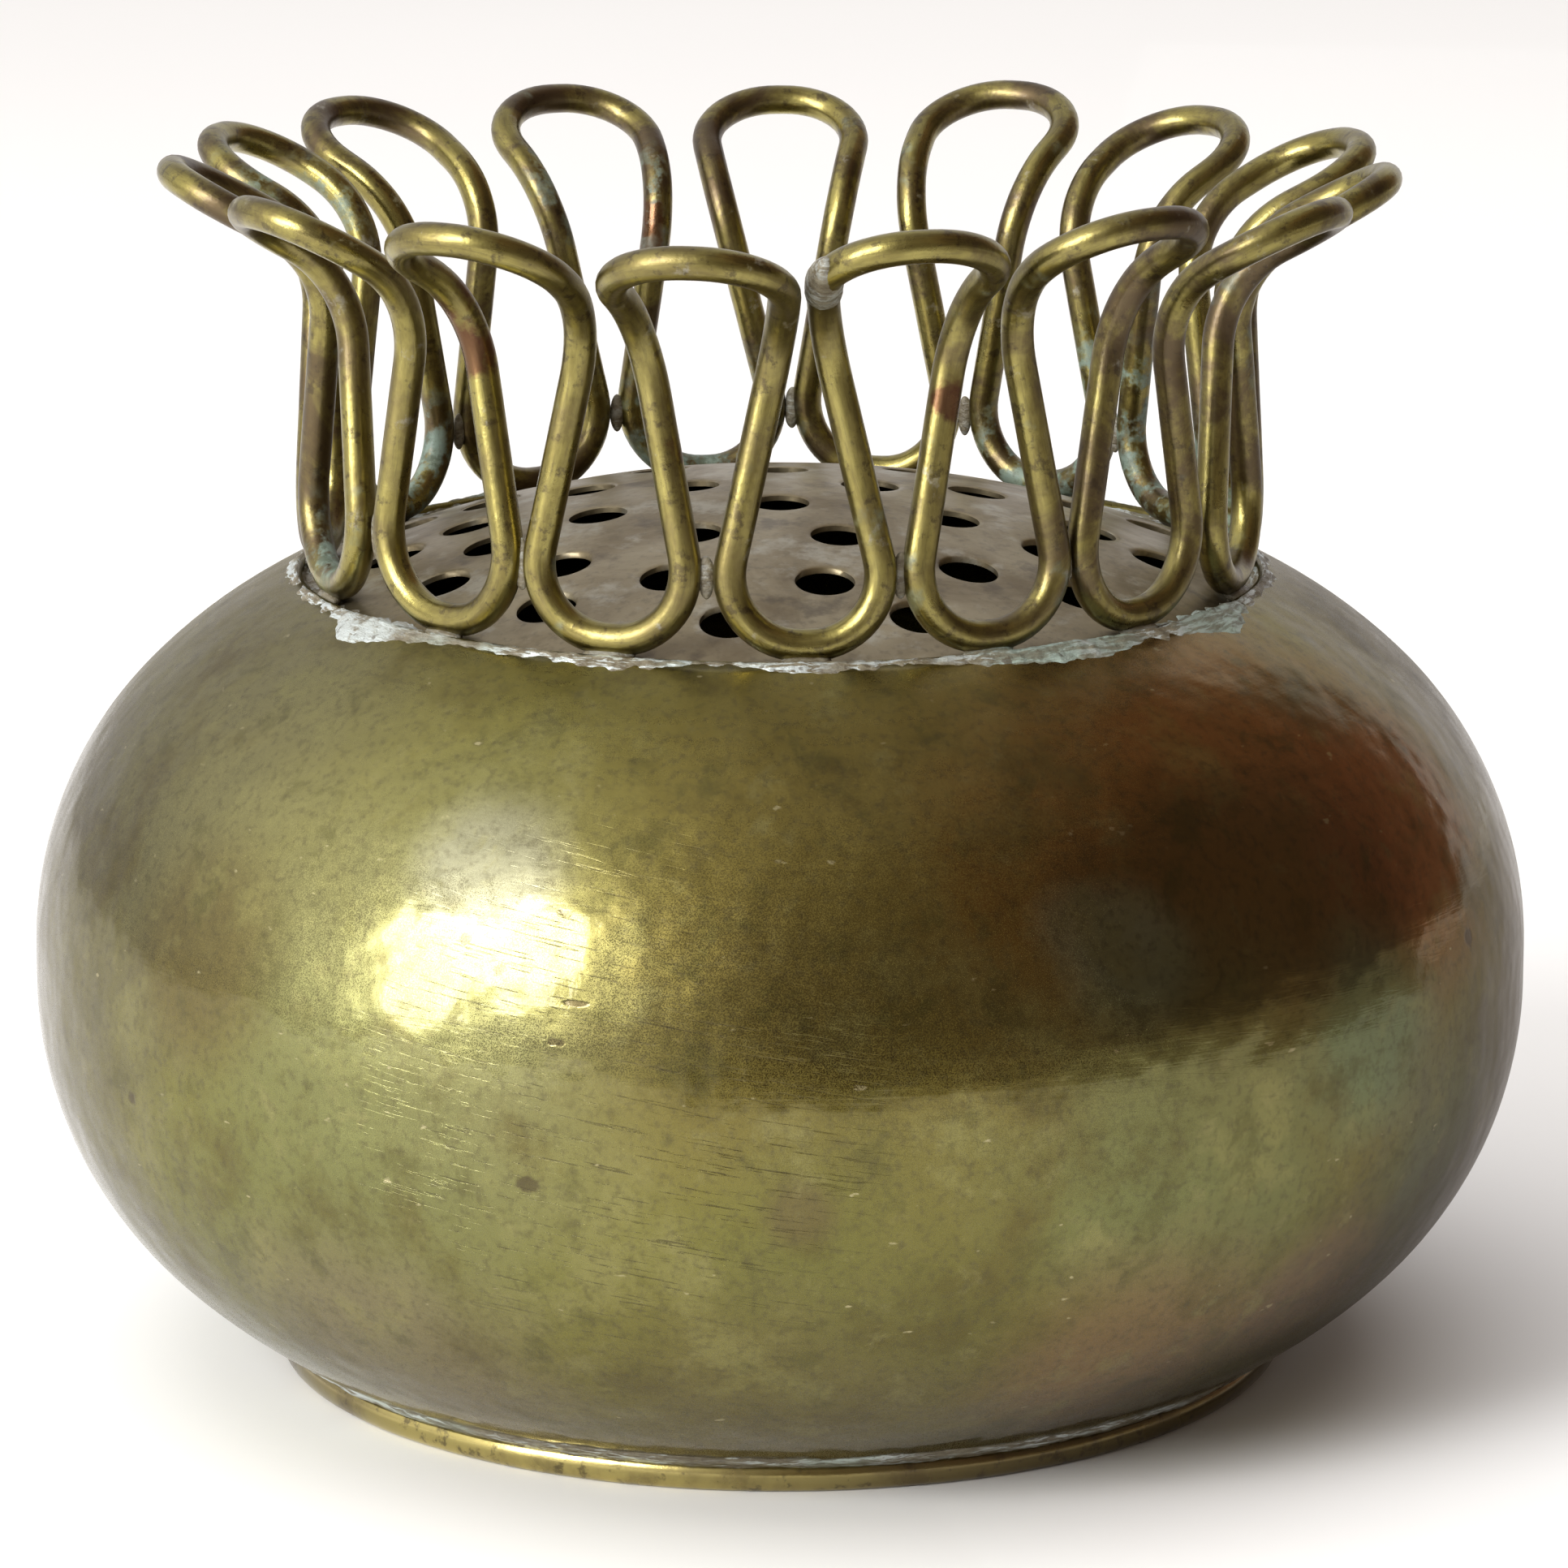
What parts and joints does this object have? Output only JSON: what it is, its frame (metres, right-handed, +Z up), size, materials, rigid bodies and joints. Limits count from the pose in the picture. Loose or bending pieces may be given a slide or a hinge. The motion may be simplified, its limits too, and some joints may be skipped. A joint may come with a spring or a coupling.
{
  "type": "flower frog",
  "caption": "Round brass flower frog: a hollow globe bowl on a foot ring, closed by a domed pierced disc, with a crown of looped wire that holds stems upright.",
  "frame": {"origin": "centre of the object at the plane it stands on", "axes": "+Z up along the bowl's axis, -Y towards the front"},
  "size_m": [0.1558, 0.1558, 0.1273],
  "materials": {
    "bowl_brass": "aged, spun, satin",
    "disc_brass": "dull, tarnished",
    "wire_brass": "aged, semi-polished",
    "foot_brass": "semi-polished",
    "solder": "dull, oxidised"
  },
  "bodies": {
    "root": {"bowl": "bowl_brass", "pierced_disc": "disc_brass", "crown_wire": "wire_brass", "foot_ring": "foot_brass", "seam_solder": "solder", "foot_solder": "solder", "turn_pads": "solder", "turn_webs": "solder", "joint_solder": "solder"}
  },
  "joints": []
}
